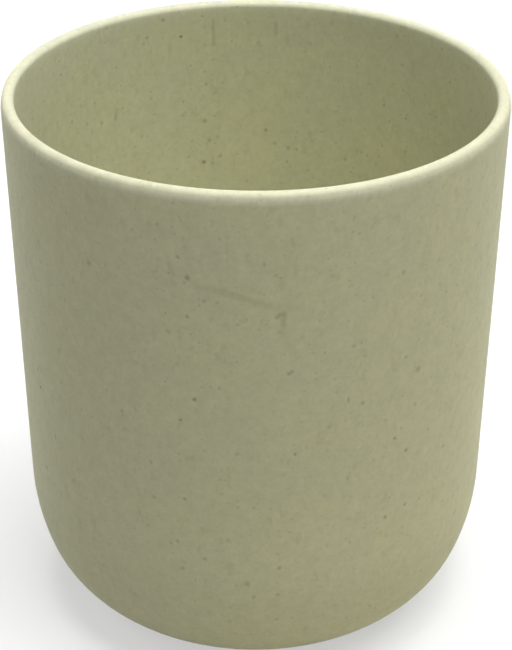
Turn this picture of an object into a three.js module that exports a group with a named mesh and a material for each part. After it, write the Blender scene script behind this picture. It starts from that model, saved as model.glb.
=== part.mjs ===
// A plain drinking cup without a handle, moulded in one piece from matt plastic with plant fibre in it.
// Millimetres, +Z up. The origin is the centre of the foot, on the surface that the cup stands on.
//
// The cup is a thin shell turned about its axis. From the outside, a nearly upright wall runs from a fully
// rounded lip down to a wide side arc, a tighter corner arc carries on from that, and the corner arc lands
// on a narrow foot ring. The wall is no size of its own: it is the one straight line that touches both the
// lip's eased outer edge and the side arc, so the taper follows from the rim, the foot and the two arcs.
import * as THREE from 'three';

const { degToRad } = THREE.MathUtils;

// The whole cup
const rimRadius = 41.5;
const cupHeight = 94.4;

// Thickness of the plastic: at the lip, where the wall ends and the side arc starts, and in the floor
const lipThickness = 2.0;
const shoulderThickness = 2.3;
const floorThickness = 2.5;

// The outer edge of the lip, where its round runs out into the wall along a wider arc
const lipEaseRadius = 4.4;
const lipEaseAngle = degToRad(18);

// The outer shoulder. Its angles are measured below level, from the arcs' centres
const sideArcRadius = 38;
const cornerArcRadius = 19.5;
const arcsMeetAngle = degToRad(19);
const footLandingAngle = degToRad(67);

// The foot ring, and the underside that is sunk inside it so that only the ring touches the table
const footRadius = 27;
const footHeight = 0.8;
const footWidth = 2.6;
const footEdgeRadius = 0.3;
const recessDepth = 1.1;
const recessCornerRadius = 0.6;

// The mark that the mould's gate leaves in the middle of the underside: a stub in a shallow round well
const gateWellRadius = 4;
const gateWellDepth = 0.5;
const gateWellSlope = 0.5;
const gateStubRadius = 0.9;
const gateStubHeight = 0.35;

// How finely the turned surface is divided
const turnSteps = 80;
const wideArcStep = degToRad(5);
const smallRoundStep = degToRad(30);

const rightAngle = degToRad(90);
const halfTurn = degToRad(180);

// Points of an arc in the profile's plane, x outward and y upward, with angles counted from level
function arc(centre, radius, from, to, step) {
  const steps = Math.ceil(Math.abs(to - from) / step);
  const points = [];
  for (let i = 0; i <= steps; i += 1) {
    const angle = from + ((to - from) * i) / steps;
    points.push(new THREE.Vector2(radius * Math.cos(angle), radius * Math.sin(angle)).add(centre));
  }
  return points;
}

// The point of a circle that lies at an angle below level
function below(centre, radius, angle) {
  return new THREE.Vector2(radius * Math.cos(angle), -radius * Math.sin(angle)).add(centre);
}

// Slope away from upright of the straight line that touches the side arc and an arc of the lip. The line
// passes the lip's arc on its outer side where reach is that arc's radius, and on its inner side where it
// is minus that
function wallSlope(sideCentre, sideRadius, lipArcCentre, reach) {
  const span = lipArcCentre.clone().sub(sideCentre);
  return Math.acos((sideRadius - reach) / span.length()) - span.angle();
}

// Outside: both arcs are placed from the foot upward, each centre on the line through the arcs' common point
const footEdge = new THREE.Vector2(footRadius, footHeight);
const cornerCentre = footEdge.clone().sub(below(new THREE.Vector2(), cornerArcRadius, footLandingAngle));
const sideCentre = below(cornerCentre, cornerArcRadius - sideArcRadius, arcsMeetAngle);

// Lip: a round as wide as the plastic is there, and an ease outside it that reaches the rim's full radius
const lipRadius = lipThickness / 2;
const lipInset = lipEaseRadius - (lipEaseRadius - lipRadius) * Math.cos(lipEaseAngle);
const lipCentre = new THREE.Vector2(rimRadius - lipInset, cupHeight - lipRadius);
const easeCentre = below(lipCentre, lipRadius - lipEaseRadius, -lipEaseAngle);
const outerSlope = wallSlope(sideCentre, sideArcRadius, easeCentre, lipEaseRadius);

// Inside: the side arc keeps the outer one's centre, and the corner arc is as large as fits between the side
// arc and the flat floor, which leaves the corner a little thicker than the wall
const innerSideRadius = sideArcRadius - shoulderThickness;
const innerSlope = wallSlope(sideCentre, innerSideRadius, lipCentre, -lipRadius);
const floorHeight = recessDepth + floorThickness;
const innerArcsMeet = below(sideCentre, innerSideRadius, arcsMeetAngle);
const innerCornerRadius = (innerArcsMeet.y - floorHeight) / (1 - Math.sin(arcsMeetAngle));
const innerCornerCentre = new THREE.Vector2(
  innerArcsMeet.x - innerCornerRadius * Math.cos(arcsMeetAngle),
  floorHeight + innerCornerRadius,
);

// Underside, from the axis outward to the foot ring's upright outer side
const footInnerRadius = footRadius - footWidth;
const wellTop = recessDepth + gateWellDepth;
const underside = [
  new THREE.Vector2(0, wellTop - gateStubHeight),
  new THREE.Vector2(gateStubRadius, wellTop - gateStubHeight),
  new THREE.Vector2(gateStubRadius, wellTop),
  new THREE.Vector2(gateWellRadius - gateWellSlope, wellTop),
  new THREE.Vector2(gateWellRadius, recessDepth),
  ...arc(
    new THREE.Vector2(footInnerRadius - recessCornerRadius, recessDepth - recessCornerRadius),
    recessCornerRadius, rightAngle, 0, smallRoundStep,
  ),
  ...arc(
    new THREE.Vector2(footInnerRadius + footEdgeRadius, footEdgeRadius),
    footEdgeRadius, halfTurn, halfTurn + rightAngle, smallRoundStep,
  ),
  ...arc(
    new THREE.Vector2(footRadius - footEdgeRadius, footEdgeRadius),
    footEdgeRadius, -rightAngle, 0, smallRoundStep,
  ),
];

// Outer wall upward, over the lip, and down the inside to the middle of the floor
const shell = [
  ...arc(cornerCentre, cornerArcRadius, -footLandingAngle, -arcsMeetAngle, wideArcStep),
  ...arc(sideCentre, sideArcRadius, -arcsMeetAngle, -outerSlope, wideArcStep).slice(1),
  ...arc(easeCentre, lipEaseRadius, -outerSlope, lipEaseAngle, wideArcStep),
  ...arc(lipCentre, lipRadius, lipEaseAngle, rightAngle, smallRoundStep).slice(1),
  ...arc(lipCentre, lipRadius, rightAngle, halfTurn - innerSlope, smallRoundStep).slice(1),
  ...arc(sideCentre, innerSideRadius, -innerSlope, -arcsMeetAngle, wideArcStep),
  ...arc(innerCornerCentre, innerCornerRadius, -arcsMeetAngle, -rightAngle, wideArcStep).slice(1),
  new THREE.Vector2(0, floorHeight),
];

// The lathe turns its profile about +Y, so the cup is then stood up on +Z
const cupGeometry = new THREE.LatheGeometry([...underside, ...shell], turnSteps);
cupGeometry.rotateX(rightAngle);

const sagePlastic = new THREE.MeshStandardMaterial({ color: 0xc3c2a2, roughness: 0.7, metalness: 0 });
const cup = new THREE.Mesh(cupGeometry, sagePlastic);
cup.name = 'cup';

const model = new THREE.Group();
model.add(cup);

export default model;
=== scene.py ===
import math

import bpy
from mathutils import Matrix, Vector
from mathutils.bvhtree import BVHTree


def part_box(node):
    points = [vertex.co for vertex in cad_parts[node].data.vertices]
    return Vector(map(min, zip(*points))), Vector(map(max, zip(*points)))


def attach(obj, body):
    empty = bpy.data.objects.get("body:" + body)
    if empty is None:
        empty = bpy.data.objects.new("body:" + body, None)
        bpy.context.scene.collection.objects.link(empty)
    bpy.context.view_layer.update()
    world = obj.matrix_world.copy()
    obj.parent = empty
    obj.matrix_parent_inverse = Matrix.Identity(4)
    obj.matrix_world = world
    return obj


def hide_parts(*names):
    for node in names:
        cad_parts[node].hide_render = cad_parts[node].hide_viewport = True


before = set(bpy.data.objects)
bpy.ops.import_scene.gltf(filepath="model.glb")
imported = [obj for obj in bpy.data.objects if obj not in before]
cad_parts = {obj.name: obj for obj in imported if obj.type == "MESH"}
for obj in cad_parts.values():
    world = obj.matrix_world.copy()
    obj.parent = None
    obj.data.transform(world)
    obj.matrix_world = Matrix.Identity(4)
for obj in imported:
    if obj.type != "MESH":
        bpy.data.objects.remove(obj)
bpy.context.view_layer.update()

# The view. A look down into the cup from hand height, as far away as a hand-held camera, fitted to the
# outline in the photograph. The picture's middle lies a hair beside the cup's axis, and the cup leans a hair
# clockwise.
view_distance = 0.3475
view_rise = math.radians(29.14)
view_roll = math.radians(0.14)
view_aim = Vector((0.00012, 0, 0.04966))
focal_length_in_pixels = 1996.8
photo_height_in_pixels = 650
sensor_size_in_mm = 36

camera_data = bpy.data.cameras.new("view")
camera_data.sensor_width = sensor_size_in_mm
camera_data.lens = focal_length_in_pixels * sensor_size_in_mm / photo_height_in_pixels
camera = bpy.data.objects.new("view", camera_data)
bpy.context.scene.collection.objects.link(camera)
towards_camera = Vector((0, -math.cos(view_rise), math.sin(view_rise)))
camera.matrix_world = (
    Matrix.Translation(view_aim + view_distance * towards_camera)
    @ Matrix.Rotation(math.radians(90) - view_rise, 4, "X")
    @ Matrix.Rotation(view_roll, 4, "Z")
)
bpy.context.scene.camera = camera
bpy.context.scene.view_settings.view_transform = "Standard"


# The cup. One thin-walled moulding in matt sage green plastic that is filled with ground plant fibre. It
# leaves the mould whole: lip, wall, shoulder, foot ring and floor are one turned surface, and nothing is
# fitted to it.
lip_thickness = 0.002
lip_ease_radius = 0.0044
lip_ease_angle = math.radians(18)
shoulder_thickness = 0.0023
floor_thickness = 0.0025
side_arc_radius = 0.038
corner_arc_radius = 0.0195
arcs_meet_angle = math.radians(19)
foot_landing_angle = math.radians(67)
foot_radius = 0.027
foot_height = 0.0008
foot_width = 0.0026
foot_round = 0.0003
recess_depth = 0.0011
recess_round = 0.0006
gate_well_radius = 0.004
gate_well_depth = 0.0005
gate_well_slope = 0.0005
gate_well_round = 0.0003
gate_stub_radius = 0.0009
gate_stub_height = 0.00035
gate_stub_rim_round = 0.00012
gate_stub_foot_round = 0.0001

turn_steps = 288
longest_step = 0.0016
wide_arc_step = math.radians(2)
lip_step = math.radians(10)
small_round_step = math.radians(15)
quarter_turn = math.radians(90)
half_turn = math.radians(180)

rim_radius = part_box("cup")[1].x
cup_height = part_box("cup")[1].z


def upward(angle):
    """The direction in the profile's plane that rises by an angle from level."""
    return Vector((math.cos(angle), math.sin(angle)))


def arc(centre, radius, start, end, step=wide_arc_step):
    """Points of an arc in the profile's plane, radius and height, with angles counted up from level."""
    steps = max(2, math.ceil(abs(end - start) / step))
    angles = [start + (end - start) * i / steps for i in range(steps + 1)]
    return [centre + radius * upward(angle) for angle in angles]


def wall_slope(side_centre, side_radius, lip_arc_centre, reach):
    """Slope away from upright of the straight line that touches the side arc and passes the centre of an arc
    of the lip at a reach, which counts outward."""
    span = lip_arc_centre - side_centre
    return math.acos((side_radius - reach) / span.length) - math.atan2(span.y, span.x)


def rounded(corners):
    """A profile whose corners, each given as a point and a radius, are arcs that touch both their sides."""
    points = [corners[0][0]]
    for (before, _), (corner, radius), (after, _) in zip(corners, corners[1:], corners[2:]):
        back, on = (before - corner).normalized(), (after - corner).normalized()
        half = back.angle(on) / 2
        centre = corner + (back + on).normalized() * radius / math.sin(half)
        first = corner + back * radius / math.tan(half)
        sweep = (half_turn - 2 * half) * math.copysign(1, back.x * on.y - back.y * on.x)
        start = math.atan2(first.y - centre.y, first.x - centre.x)
        points += arc(centre, radius, start, start - sweep, small_round_step)
    return points + [corners[-1][0]]


def evened(points):
    """The same profile with its long straight stretches divided into short steps."""
    even = [points[0]]
    for start, end in zip(points, points[1:]):
        steps = max(1, math.ceil((end - start).length / longest_step))
        even += [start.lerp(end, (i + 1) / steps) for i in range(steps)]
    return even


foot_edge = Vector((foot_radius, foot_height))
corner_centre = foot_edge - corner_arc_radius * upward(-foot_landing_angle)
side_centre = corner_centre - (side_arc_radius - corner_arc_radius) * upward(-arcs_meet_angle)
lip_radius = lip_thickness / 2
lip_to_ease = (lip_ease_radius - lip_radius) * upward(lip_ease_angle)
lip_centre = Vector((rim_radius - lip_ease_radius + lip_to_ease.x, cup_height - lip_radius))
ease_centre = lip_centre - lip_to_ease
outer_slope = wall_slope(side_centre, side_arc_radius, ease_centre, lip_ease_radius)

inner_side_radius = side_arc_radius - shoulder_thickness
inner_slope = wall_slope(side_centre, inner_side_radius, lip_centre, -lip_radius)
floor_height = recess_depth + floor_thickness
inner_arcs_meet = side_centre + inner_side_radius * upward(-arcs_meet_angle)
inner_corner_radius = (inner_arcs_meet.y - floor_height) / (1 - math.sin(arcs_meet_angle))
inner_corner_centre = Vector(
    (inner_arcs_meet.x - inner_corner_radius * math.cos(arcs_meet_angle), floor_height + inner_corner_radius)
)

well_top = recess_depth + gate_well_depth
corner_arc = arc(corner_centre, corner_arc_radius, -foot_landing_angle, -arcs_meet_angle)
underside = rounded(
    [
        (Vector((0, well_top - gate_stub_height)), 0),
        (Vector((gate_stub_radius, well_top - gate_stub_height)), gate_stub_rim_round),
        (Vector((gate_stub_radius, well_top)), gate_stub_foot_round),
        (Vector((gate_well_radius - gate_well_slope, well_top)), gate_well_round),
        (Vector((gate_well_radius, recess_depth)), gate_well_round),
        (Vector((foot_radius - foot_width, recess_depth)), recess_round),
        (Vector((foot_radius - foot_width, 0)), foot_round),
        (Vector((foot_radius, 0)), foot_round),
        (foot_edge, foot_round),
        (corner_arc[1], 0),
    ]
)
profile = evened(
    underside
    + corner_arc[2:]
    + arc(side_centre, side_arc_radius, -arcs_meet_angle, -outer_slope)[1:]
    + arc(ease_centre, lip_ease_radius, -outer_slope, lip_ease_angle)
    + arc(lip_centre, lip_radius, lip_ease_angle, half_turn - inner_slope, lip_step)[1:]
    + arc(side_centre, inner_side_radius, -inner_slope, -arcs_meet_angle)
    + arc(inner_corner_centre, inner_corner_radius, -arcs_meet_angle, -quarter_turn)[1:]
    + [Vector((0, floor_height))]
)

rings = profile[1:-1]
vertices = [Vector((0, 0, profile[0].y))]
for ring in rings:
    for turn in range(turn_steps):
        angle = math.tau * turn / turn_steps
        vertices.append(Vector((ring.x * math.sin(angle), -ring.x * math.cos(angle), ring.y)))
vertices.append(Vector((0, 0, profile[-1].y)))

faces = []
last_ring = 1 + (len(rings) - 1) * turn_steps
for turn in range(turn_steps):
    beside = (turn + 1) % turn_steps
    faces.append((0, 1 + beside, 1 + turn))
    for start in range(1, last_ring, turn_steps):
        faces.append((start + turn, start + beside, start + turn_steps + beside, start + turn_steps + turn))
    faces.append((last_ring + turn, last_ring + beside, len(vertices) - 1))

cup_mesh = bpy.data.meshes.new("cup")
cup_mesh.from_pydata(vertices, [], faces)
cup_mesh.polygons.foreach_set("use_smooth", [True] * len(faces))
cup = bpy.data.objects.new("cup_moulding", cup_mesh)
bpy.context.scene.collection.objects.link(cup)


class Wire:
    """A node's output. Sums on wires add the nodes that work them out."""

    def __init__(self, socket):
        self.socket = socket
        self.tree = socket.id_data

    def node(self, kind, settings, sockets, output=0):
        """Adds a node: its settings first, then what each of its sockets takes, a value or a wire."""
        made = self.tree.nodes.new(kind)
        for name, value in settings.items():
            setattr(made, name, value)
        for name, value in sockets.items():
            if isinstance(value, Wire):
                self.tree.links.new(value.socket, made.inputs[name])
            else:
                made.inputs[name].default_value = value
        return Wire(made.outputs[output]) if made.outputs else None

    def also(self, output):
        """Another output of the same node."""
        return Wire(self.socket.node.outputs[output])

    def math(self, operation, first, second):
        return self.node("ShaderNodeMath", {"operation": operation}, {0: first, 1: second})

    def vector_math(self, operation, *others, output=0):
        values = dict(enumerate([self, *others]))
        return self.node("ShaderNodeVectorMath", {"operation": operation}, values, output)

    def __add__(self, other):
        return self.math("ADD", self, other)

    def __sub__(self, other):
        return self.math("SUBTRACT", self, other)

    def __rsub__(self, other):
        return self.math("SUBTRACT", other, self)

    def __mul__(self, other):
        return self.math("MULTIPLY", self, other)

    def __truediv__(self, other):
        return self.math("DIVIDE", self, other)

    def __rtruediv__(self, other):
        return self.math("DIVIDE", other, self)

    __radd__ = __add__
    __rmul__ = __mul__

    def most(self, other):
        """The larger of the two."""
        return self.math("MAXIMUM", self, other)

    def rising(self, low, high, top=1):
        """0 at low and top at high, with a smooth step between. Where low is above high it falls instead."""
        ends = {"Value": self, "From Min": low, "From Max": high, "To Max": top}
        return self.node("ShaderNodeMapRange", {"interpolation_type": "SMOOTHSTEP"}, ends)

    def mixed(self, other, share):
        """This colour where share is 0, and the other where it is 1."""
        return self.node("ShaderNodeMix", {"data_type": "RGBA"}, {0: share, 6: self, 7: other}, 2)

    def part(self, name):
        """One part of a place, X, Y or Z, or one of a colour, Red, Green or Blue."""
        kind = "ShaderNodeSeparateXYZ" if name in "XYZ" else "ShaderNodeSeparateColor"
        return self.node(kind, {}, {0: self}, name)

    def noise(self, spacing, detail=1, share_kept=0.5, height_stretch=1, output="Fac"):
        """Noise with lumps about one spacing wide, stretched in height, with ever finer ones on them."""
        scaled = self.vector_math("DIVIDE", (spacing, spacing, spacing * height_stretch))
        sockets = {"Vector": scaled, "Scale": 1, "Detail": detail, "Roughness": share_kept}
        return self.node("ShaderNodeTexNoise", {}, sockets, output)


def first_wire(owner, kind, output):
    """An output of the first node in the emptied node tree of a material or a world."""
    owner.use_nodes = True
    owner.node_tree.nodes.clear()
    return Wire(owner.node_tree.nodes.new(kind).outputs[output])


plastic = bpy.data.materials.new("speckled_sage_plastic")
place = first_wire(plastic, "ShaderNodeTexCoord", "Object")
facing = place.also("Normal")
noise_mean = 0.5

# Above 0 where the surface faces away from the cup's axis, and below 0 on the inside
away_from_axis = place.part("X") * facing.part("X") + place.part("Y") * facing.part("Y")
surely_inside = -0.001
inside = away_from_axis.rising(0, surely_inside)

# The fibre is ground into grains of uneven outline, so the places where grains are looked up are shaken
shake_spacing = 0.0005
shake = 0.0003
shake_noise = place.noise(shake_spacing, output="Color")
shaken = shake_noise.vector_math("SUBTRACT", (noise_mean, noise_mean, noise_mean))
ragged_place = shaken.vector_math("MULTIPLY_ADD", (shake, shake, shake), place)

# A grain or a streak is darkest in its core, whose width is this share of the whole
core_share = 0.1

# A cell holds a grain where its draw lies below the share of cells with grains. Within this margin it fades
share_margin = 0.01


def grains(spacing, smallest, largest, share, palest, darkest, height_stretch=1):
    """Grains spread through the plastic, one to a cell of about one spacing, in only a share of the cells.
    Gives 0 outside the grains, and in the middle of each its darkness, from palest to darkest."""
    cell = ragged_place.vector_math("DIVIDE", (spacing, spacing, spacing * height_stretch))
    distance = cell.node("ShaderNodeTexVoronoi", {}, {"Vector": cell, "Scale": 1}, "Distance")
    luck = distance.also("Color")
    radius = smallest + (largest - smallest) * luck.part("Red")
    there = luck.part("Green").rising(share + share_margin, share)
    darkness = palest + (darkest - palest) * luck.part("Blue")
    return (distance * spacing / radius).rising(1, core_share) * there * darkness


fine_grains = grains(
    spacing=0.0013, smallest=0.00024, largest=0.00046, share=0.6, palest=0.065, darkest=0.43
)
coarse_grains = grains(
    spacing=0.0050, smallest=0.00035, largest=0.00060, share=0.36, palest=0.35, darkest=1.1
)
drawn_grains = grains(
    spacing=0.0030, smallest=0.00020, largest=0.00038, share=0.4, palest=0.07, darkest=0.7, height_stretch=2.4
)

# The darkest grains and streaks lie where they lie on the real cup. A grain is given by its pixel in the
# photograph, its width in pixels and its darkness. A streak is given by pixels with the width at each, and
# its darkness. The soft edge of both ends at a distance from the middle of edge_reach widths.
photo_width_in_pixels = 512
edge_reach = 1.15
grain_pixels = [
    (194.5, 399.4, 3.0, 1.0), (406, 450, 3.0, 0.8), (385, 517, 3.0, 0.8), (418, 369, 4.5, 0.6),
    (187.2, 277.7, 4.2, 0.7), (363, 403, 3.0, 0.6), (405, 504, 3.0, 0.6), (279, 568, 3.0, 0.6),
    (247, 584, 4.5, 0.5), (289, 374, 3.0, 0.6), (291.6, 372.2, 3.0, 0.6), (205, 559, 3.0, 0.55),
    (89, 263, 4.5, 0.5), (406, 357, 3.0, 0.5), (183, 568, 3.0, 0.5), (187.2, 316.5, 3.2, 0.55),
    (154, 497, 3.0, 0.5), (171, 543, 3.0, 0.5), (177.5, 541, 3.0, 0.45), (122, 411, 3.0, 0.5),
    (443, 446, 3.0, 0.5), (254, 597, 3.0, 0.45), (151, 462, 3.0, 0.45), (404, 272, 3.2, 0.45),
    (415, 404, 3.4, 0.45), (177.7, 257.1, 3.2, 0.5), (264.2, 264.5, 3.2, 0.45), (276, 275.5, 3.4, 0.35),
    (204.1, 301.1, 3.2, 0.45), (217.3, 302.6, 3.0, 0.35), (168.1, 331.2, 4.0, 0.4), (353.7, 345.9, 3.4, 0.4),
    (219.5, 388.4, 3.2, 0.45), (237, 454, 3.0, 0.4), (228, 540, 3.0, 0.4), (329, 427, 3.4, 0.4),
    (204, 162, 3.0, 1.0), (147, 38, 2.8, 0.6), (266, 130, 3.0, 0.6), (163, 20, 3.0, 0.6),
    (205, 121, 3.0, 0.55), (209, 140, 3.0, 0.5), (72, 122, 3.0, 0.5), (288, 148, 3.0, 0.5),
    (220, 156, 3.0, 0.45), (102, 123, 3.0, 0.45), (345, 159, 3.0, 0.45), (275, 143, 3.0, 0.4),
    (218, 137, 2.6, 0.35), (143, 44, 2.6, 0.35), (361, 152, 2.6, 0.35), (183, 115, 2.8, 0.35),
]
streak_pixels = [
    ([(213, 20, 2.2), (213.5, 34, 2.6), (213.5, 44, 3.4)], 0.3),
    ([(276, 24, 3.2), (276, 34, 3.0)], 0.3),
    ([(117, 109, 2.4), (115, 119, 3.0)], 0.3),
    ([(169, 264, 4.4), (172.5, 274, 4.0)], 0.2),
    ([(277, 317.5, 3.0), (280.5, 315, 3.8), (284, 315, 5.0)], 0.5),
    ([(283.5, 314, 5.0), (283.5, 324, 4.2)], 0.4),
]
flow_mark_pixels = [
    ([(187, 279, 4.5), (199, 286.5, 6.0)], 0.45),
    ([(199, 287, 4.6), (212, 289.5, 6.4), (224, 293, 6.4), (240, 297, 5.4)], 1.0),
    ([(240, 297, 5.4), (255, 301.5, 4.5), (264, 304.5, 3.2)], 1.0),
    ([(262, 304, 5.0), (282, 308.5, 6.0), (302, 309, 4.0)], 0.35),
]
cup_surface = BVHTree.FromPolygons(vertices, faces)


def seen_at(x, y, width):
    """The point of the cup that shows at a pixel of the photograph, and how wide so many pixels are there."""
    sight = Vector((x - photo_width_in_pixels / 2, photo_height_in_pixels / 2 - y, -focal_length_in_pixels))
    eye = camera.matrix_world.translation
    point, _, _, distance = cup_surface.ray_cast(eye, camera.matrix_world.to_3x3() @ sight)
    return point, width * distance / sight.length


def grain(x, y, width, darkness):
    """One dark grain round a pixel of the photograph."""
    middle, width_there = seen_at(x, y, width)
    distance = ragged_place.vector_math("DISTANCE", middle, output="Value")
    return (distance / (edge_reach * width_there)).rising(1, core_share, darkness)


def streak(pixels, darkness):
    """A dark line from pixel to pixel of the photograph, as wide at each as its third number says."""
    darkest = 0
    for pixel, next_pixel in zip(pixels, pixels[1:]):
        start, width = seen_at(*pixel)
        end, end_width = seen_at(*next_pixel)
        run = end - start
        from_start = ragged_place.vector_math("SUBTRACT", start)
        along = from_start.vector_math("DOT_PRODUCT", run / run.length_squared, output="Value")
        along = along.node("ShaderNodeClamp", {}, {"Value": along})
        on_run = {0: along * run.x, 1: along * run.y, 2: along * run.z}
        nearest = along.node("ShaderNodeCombineXYZ", {}, on_run)
        distance = from_start.vector_math("DISTANCE", nearest, output="Value")
        reach = edge_reach * (width + (end_width - width) * along)
        darkest = (distance / reach).rising(1, core_share, darkness).most(darkest)
    return darkest


extra_inside = 0.5
marked = fine_grains.most(coarse_grains).most(drawn_grains) * (1 + extra_inside * inside)
for pixels in grain_pixels:
    marked = marked.most(grain(*pixels))
for pixels, darkness in streak_pixels:
    marked = marked.most(streak(pixels, darkness))

# A flow mark, where two fronts of the melt met. It comes and goes along its length
patch_width = 0.0025
patch_starts = 0.35
patch_is_full = 0.6
between_patches = 0.7
patches = place.noise(patch_width).rising(patch_starts, patch_is_full)
flow_mark = 0
for pixels, darkness in flow_mark_pixels:
    flow_mark = streak(pixels, darkness).most(flow_mark)
flow_mark = flow_mark * (between_patches + (1 - between_patches) * patches)

outer_sage = (0.559, 0.549, 0.345, 1)
# The inside is the same plastic; its colour is painted cooler and less yellow, standing in for the different
# light inside the cup
inner_sage_tinted_for_light = (0.549, 0.550, 0.370, 1)
yellow_sage = (0.558, 0.546, 0.310, 1)
dark_sage = (0.37, 0.35, 0.18, 1)
grain_brown = (0.14, 0.12, 0.045, 1)
# Paler colour of the painted highlight on the lip
lip_highlight_sage = (0.60, 0.60, 0.53, 1)
# Paler still: the band of painted highlight on both edges of the lip
lip_band_highlight_sage = (0.67, 0.67, 0.47, 1)
yellow_strength = 0.3
fibre_strength = 0.08
smudge_strength = 0.22
flow_mark_strength = 0.35
grain_strength = 0.68
lip_highlight_strength = 0.27
lip_band_highlight_strength = 0.5
mottle_strength = 0.3
cloud_strength = 0.04

cloud_width = 0.011
yellow_starts = 0.35
yellow_is_full = 0.7
clouds = place.noise(cloud_width)
yellow_clouds = clouds.rising(yellow_starts, yellow_is_full)

mottle_width = 0.0022
mottle = place.noise(mottle_width, detail=2, share_kept=1)

fibre_width = 0.00022
fibre_stretch = 6
fibre_starts = 0.55
fibre_is_full = 0.75
fibres = place.noise(fibre_width, height_stretch=fibre_stretch).rising(fibre_starts, fibre_is_full)

smudge_width = 0.0016
smudge_stretch = 1.6
smudge_starts = 0.6
smudge_is_full = 0.72
smudges = place.noise(smudge_width, detail=2, height_stretch=smudge_stretch)
smudges = smudges.rising(smudge_starts, smudge_is_full)

# The lip is painted paler than the wall as a painted highlight, most of all in a narrow band on both its
# edges, for the light its round catches
lip_highlight_starts = cup_height - 0.0028
lip_highlight_is_full = cup_height - 0.0008
# A narrow band of painted highlight on both edges of the lip, palest a little below the top
lip_band_starts = cup_height - 0.0015
lip_band_is_full = cup_height - 0.0009
height = place.part("Z")
painted_lip_highlight = height.rising(lip_highlight_starts, lip_highlight_is_full)
painted_lip_band_highlight = height.rising(lip_band_starts, lip_band_is_full) * height.rising(cup_height, lip_band_is_full)

# Inside and outside differ only by the painted tint for the light inside the cup
sides = {0: inside, 6: outer_sage, 7: inner_sage_tinted_for_light}
colour = inside.node("ShaderNodeMix", {"data_type": "RGBA"}, sides, 2)
colour = colour.mixed(yellow_sage, yellow_strength * yellow_clouds)
# Painted highlight on the lip: paler over the whole lip, palest in a band on both its edges
colour = colour.mixed(lip_highlight_sage, lip_highlight_strength * painted_lip_highlight).mixed(lip_band_highlight_sage, lip_band_highlight_strength * painted_lip_band_highlight)
shade = 1 + mottle_strength * (mottle - noise_mean) + cloud_strength * (clouds - noise_mean)
colour = colour.node("ShaderNodeVectorMath", {"operation": "SCALE"}, {0: colour, "Scale": shade})
colour = colour.mixed(dark_sage, fibre_strength * fibres + smudge_strength * smudges)
colour = colour.mixed(dark_sage, flow_mark_strength * flow_mark)
colour = colour.mixed(grain_brown, grain_strength * marked)

pore_width = 0.0002
pore_depth = 0.000005
wave_width = 0.008
wave_depth = 0.00005
relief = pore_depth * place.noise(pore_width) + wave_depth * place.noise(wave_width)
bumped = place.node("ShaderNodeBump", {}, {"Strength": 1, "Distance": 1, "Height": relief})

least_roughness = 0.56
mottled_roughness = 0.1
roughness = least_roughness + mottled_roughness * mottle
refractive_index = 1.46
surface = {"Base Color": colour, "Roughness": roughness, "Normal": bumped, "IOR": refractive_index}
shader = place.node("ShaderNodeBsdfPrincipled", {}, surface)
shader.node("ShaderNodeOutputMaterial", {}, {"Surface": shader})
cup_mesh.materials.append(plastic)

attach(cup, "root")
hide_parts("cup")


# The floor. A wide sheet of white board, a hair below the foot so that the two never lie in one plane. It
# looks white where no shadow falls, and whitest far off, but it throws back less light than it shows, so that
# the wall stays darker than the lip, and a little more and warmer light by the foot on the right.
floor_radius = 3
floor_sides = 96
floor_gap = 0.00003
floor_points = []
for side in range(floor_sides):
    angle = math.tau * side / floor_sides
    floor_points.append(Vector((floor_radius * math.cos(angle), floor_radius * math.sin(angle), -floor_gap)))
floor_mesh = bpy.data.meshes.new("floor")
floor_mesh.from_pydata(floor_points, [], [tuple(range(floor_sides))])
floor = bpy.data.objects.new("floor", floor_mesh)
bpy.context.scene.collection.objects.link(floor)

board_for_light = (0.41, 0.41, 0.41, 1)
board_by_foot = (0.565, 0.55, 0.43, 1)
board_for_eyes = (0.92, 0.92, 0.92, 1)
by_foot = Vector((0.07, -0.02, 0))
by_foot_reach = 0.15
by_foot_core = 0.02
glow_near = 0.5
glow_starts_to_grow = 0.3
glow_is_full = 0.6


def seen_by_eyes(owner):
    """1 for a ray that shows things to the camera, straight or in a reflection, and 0 for one that lights."""
    ray = first_wire(owner, "ShaderNodeLightPath", "Is Camera Ray")
    return ray.most(ray.also("Is Glossy Ray")).most(ray.also("Is Transmission Ray"))


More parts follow.
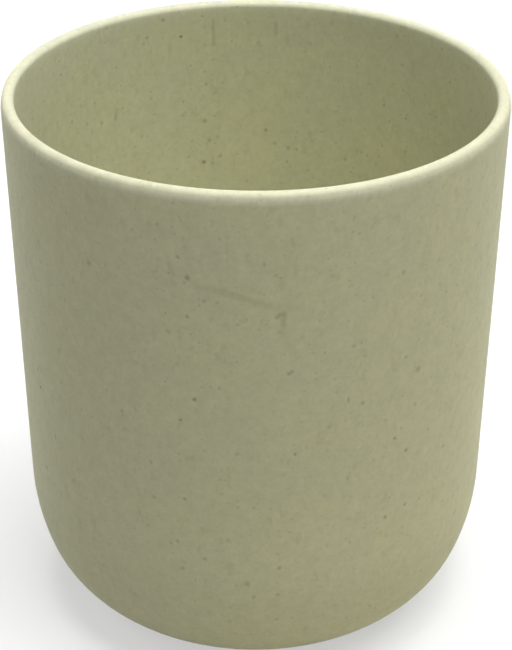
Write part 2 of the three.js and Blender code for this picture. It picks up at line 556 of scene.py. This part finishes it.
board = bpy.data.materials.new("white_board")
seen = seen_by_eyes(board)
board_place = seen.node("ShaderNodeTexCoord", {}, {}, "Object")
from_axis = board_place.vector_math("LENGTH", output="Value")
far_off = from_axis.rising(glow_starts_to_grow, glow_is_full)
glow_share = seen * (glow_near + (1 - glow_near) * far_off)
from_foot = board_place.vector_math("DISTANCE", by_foot, output="Value")
shades = {0: from_foot.rising(by_foot_reach, by_foot_core), 6: board_for_light, 7: board_by_foot}
board_colour = seen.node("ShaderNodeMix", {"data_type": "RGBA"}, shades, 2).mixed(board_for_eyes, seen)
board_shader = seen.node("ShaderNodeBsdfDiffuse", {}, {"Color": board_colour})
board_glow = seen.node("ShaderNodeEmission", {}, {"Color": (1, 1, 1, 1), "Strength": 1})
board_shader = seen.node("ShaderNodeMixShader", {}, {0: glow_share, 1: board_shader, 2: board_glow})
board_shader.node("ShaderNodeOutputMaterial", {}, {"Surface": board_shader})
floor_mesh.materials.append(board)


# The studio. A room that shows white to the camera and in reflections but gives no light of its own, one
# strong soft lamp overhead, and weaker ones round the cup. Each lamp is a disc that faces the cup, placed by
# its bearing, counted to the right from the front, and its rise, with its power in watts.
room = bpy.data.worlds.new("room")
bpy.context.scene.world = room
seen = seen_by_eyes(room)
room_light = seen.node("ShaderNodeBackground", {}, {"Color": (1, 1, 1, 1), "Strength": seen})
room_light.node("ShaderNodeOutputWorld", {}, {"Surface": room_light})

lamp_distance = 1
lamp_size = 0.6
lamp_target = Vector((0, 0, 0.05))
lamps = {
    "overhead": (0, 90, 8.4),
    "high_front_right": (45, 65, 3.2),
    "high_right": (90, 65, 3.0),
    "front": (0, 40, 1.4),
    "left": (-90, 40, 0.75),
    "behind_right": (135, 12, 2.0),
    "behind_left": (-135, 12, 2.0),
}
for name, (bearing, rise, power) in lamps.items():
    bearing = math.radians(bearing)
    rise = math.radians(rise)
    level = Vector((math.sin(bearing), -math.cos(bearing), 0))
    lamp_way = math.cos(rise) * level + math.sin(rise) * Vector((0, 0, 1))
    disc = bpy.data.lights.new(name, "AREA")
    disc.shape = "DISK"
    disc.size = lamp_size
    disc.energy = power
    lamp = bpy.data.objects.new(name, disc)
    lamp.location = lamp_target + lamp_distance * lamp_way
    lamp.rotation_euler = lamp_way.to_track_quat("Z", "Y").to_euler()
    lamp.visible_camera = False
    bpy.context.scene.collection.objects.link(lamp)
